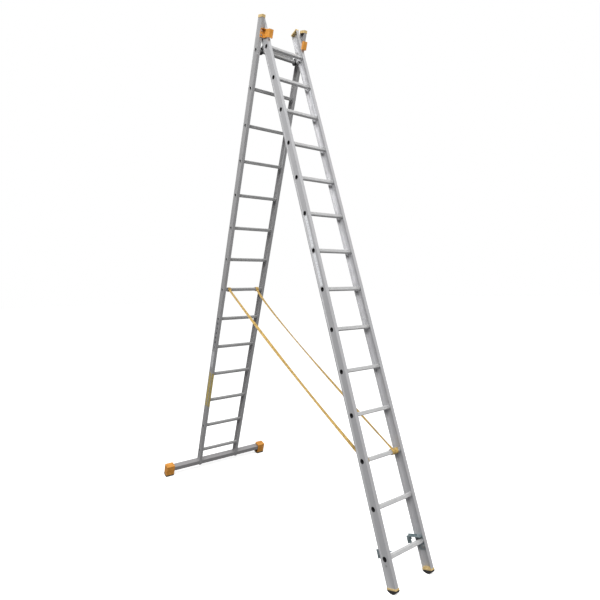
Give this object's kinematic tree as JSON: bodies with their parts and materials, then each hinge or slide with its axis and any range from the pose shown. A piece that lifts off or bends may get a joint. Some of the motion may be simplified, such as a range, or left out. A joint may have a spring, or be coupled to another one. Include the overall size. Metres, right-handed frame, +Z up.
{
  "type": "extension ladder",
  "caption": "Two-section aluminium combination ladder opened as an A-frame, with hooked-on fly section, stabiliser bar, webbing restraints and rung hooks.",
  "frame": {"origin": "on the floor midway between the two pairs of feet, in the plane halfway between the stiles", "axes": "+Z up; +Y towards the section with the stabiliser bar, -Y towards the fly section; +X along the rungs, to the right of someone who faces +Y"},
  "size_m": [1.092, 2.6226, 3.8839],
  "materials": {
    "stile_aluminium": "extruded satin",
    "rung_aluminium": "extruded satin with fine ribs",
    "bar_aluminium": "extruded satin",
    "hinge_steel": "dark grey coated steel",
    "zinc_bracket": "zinc plated, dull",
    "zinc_fixing": "zinc plated",
    "orange_plastic": "moulded, satin",
    "tan_plastic": "moulded, satin",
    "black_plastic": "moulded",
    "black_rubber": "moulded, ribbed tread",
    "yellow_webbing": "woven webbing"
  },
  "bodies": {
    "base": {"bar_cap_left": "orange_plastic", "bar_cap_right": "orange_plastic", "bar_sole_left": "black_rubber", "bar_sole_right": "black_rubber", "base_cap_left": "tan_plastic", "base_cap_right": "tan_plastic", "base_fixings": "zinc_fixing", "base_rung_01": "rung_aluminium", "base_rung_02": "rung_aluminium", "base_rung_03": "rung_aluminium", "base_rung_04": "rung_aluminium", "base_rung_05": "rung_aluminium", "base_rung_06": "rung_aluminium", "base_rung_07": "rung_aluminium", "base_rung_08": "rung_aluminium", "base_rung_09": "rung_aluminium", "base_rung_10": "rung_aluminium", "base_rung_11": "rung_aluminium", "base_rung_12": "rung_aluminium", "base_rung_13": "rung_aluminium", "base_rung_14": "rung_aluminium", "base_stile_left": "stile_aluminium", "base_stile_right": "stile_aluminium", "guide_shoe_left": "orange_plastic", "guide_shoe_right": "orange_plastic", "stabiliser_bar": "bar_aluminium", "strap_left": "yellow_webbing", "strap_right": "yellow_webbing"},
    "hinge_bushes": {"hinge_bush_left": "black_plastic", "hinge_bush_right": "black_plastic"},
    "fly": {"foot_rim_left": "tan_plastic", "foot_rim_right": "tan_plastic", "foot_sole_left": "black_rubber", "foot_sole_right": "black_rubber", "hinge_arm_left": "hinge_steel", "hinge_arm_right": "hinge_steel", "rung_hook_left": "zinc_bracket", "rung_hook_right": "zinc_bracket", "upper_cap_left": "tan_plastic", "upper_cap_right": "tan_plastic", "upper_fixings": "zinc_fixing", "upper_rung_01": "rung_aluminium", "upper_rung_02": "rung_aluminium", "upper_rung_03": "rung_aluminium", "upper_rung_04": "rung_aluminium", "upper_rung_05": "rung_aluminium", "upper_rung_06": "rung_aluminium", "upper_rung_07": "rung_aluminium", "upper_rung_08": "rung_aluminium", "upper_rung_09": "rung_aluminium", "upper_rung_10": "rung_aluminium", "upper_rung_11": "rung_aluminium", "upper_rung_12": "rung_aluminium", "upper_rung_13": "rung_aluminium", "upper_rung_14": "rung_aluminium", "upper_stile_left": "stile_aluminium", "upper_stile_right": "stile_aluminium"},
    "latch_left": {"hook_pawl_left": "zinc_bracket"},
    "latch_right": {"hook_pawl_right": "zinc_bracket"}
  },
  "joints": [
    {"name": "spread", "type": "hinge", "parent": "base", "child": "hinge_bushes", "pos_m": [0, 0.01632, 3.6352], "axis": [1, 0, 0], "range_deg": [0, 24.5], "deforming": ["strap_left", "strap_right"]},
    {"name": "lift_off", "type": "slide", "parent": "hinge_bushes", "child": "fly", "axis": [0, 0.3156, 0.9489], "range_m": [0, 0.28]},
    {"name": "latch_left_turn", "type": "hinge", "parent": "fly", "child": "latch_left", "pos_m": [-0.13585, -1.14823, 0.17783], "axis": [1, 0, 0], "range_deg": [-35, 0], "stiffness_Nm_per_rad": 0.02, "springref_deg": 11.46},
    {"name": "latch_right_turn", "type": "hinge", "parent": "fly", "child": "latch_right", "pos_m": [0.13585, -1.14823, 0.17783], "axis": [1, 0, 0], "range_deg": [-35, 0], "stiffness_Nm_per_rad": 0.02, "springref_deg": 11.46}
  ]
}
